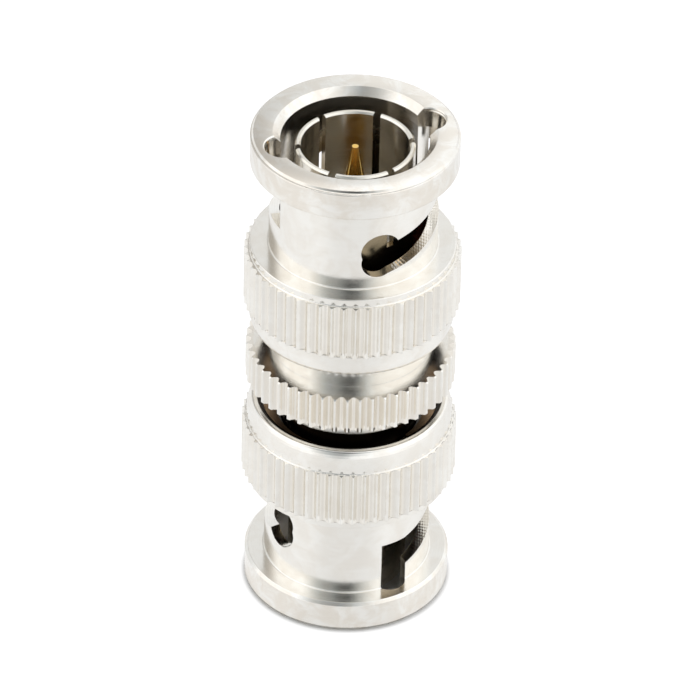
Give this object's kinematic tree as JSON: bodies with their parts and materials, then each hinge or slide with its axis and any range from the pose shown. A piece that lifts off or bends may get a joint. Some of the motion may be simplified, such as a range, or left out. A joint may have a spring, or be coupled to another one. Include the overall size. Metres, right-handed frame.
{
  "type": "plug-to-plug bnc adapter",
  "caption": "Straight coaxial adapter with a spring-loaded bayonet plug at each end, a knurled ring on the body between them and a gold centre pin.",
  "frame": {"origin": "centre of the lower plug's mouth face, which the adapter stands on", "axes": "+Z along the connector's axis, from the lower plug to the upper one"},
  "size_m": [0.0144, 0.0144, 0.0364],
  "materials": {
    "nickel": "satin nickel plate on turned brass",
    "gold": "gold plate",
    "bronze": "plain phosphor bronze",
    "spring_steel": "bright rolled steel",
    "ptfe": "turned PTFE",
    "silicone": "dark red silicone"
  },
  "bodies": {
    "adapter": {"adapter_body": "nickel", "center_pin": "gold", "upper_contact_sleeve": "nickel", "upper_insulator": "ptfe", "upper_gasket": "silicone", "upper_front_washer": "spring_steel", "upper_wave_washer": "bronze", "lower_contact_sleeve": "nickel", "lower_insulator": "ptfe", "lower_gasket": "silicone", "lower_front_washer": "spring_steel", "lower_wave_washer": "bronze"},
    "upper_retainer": {"upper_rear_washer": "spring_steel", "upper_retaining_ring": "bronze"},
    "upper_nut": {"upper_coupling_nut": "nickel"},
    "lower_retainer": {"lower_rear_washer": "spring_steel", "lower_retaining_ring": "bronze"},
    "lower_nut": {"lower_coupling_nut": "nickel"}
  },
  "joints": [
    {"name": "upper_nut_slide", "type": "slide", "parent": "adapter", "child": "upper_retainer", "axis": [0, 0, 1], "range_m": [0, 0.0007], "stiffness_N_per_m": 8000, "springref_m": -0.0005, "deforming": ["upper_wave_washer"]},
    {"name": "upper_nut_turn", "type": "hinge", "parent": "upper_retainer", "child": "upper_nut", "pos_m": [0, 0, 0.0294], "axis": [0, 0, 1], "continuous": true},
    {"name": "lower_nut_slide", "type": "slide", "parent": "adapter", "child": "lower_retainer", "axis": [0, 0, -1], "range_m": [0, 0.0007], "stiffness_N_per_m": 8000, "springref_m": -0.0005, "deforming": ["lower_wave_washer"]},
    {"name": "lower_nut_turn", "type": "hinge", "parent": "lower_retainer", "child": "lower_nut", "pos_m": [0, 0, 0.007], "axis": [0, 0, -1], "continuous": true}
  ]
}
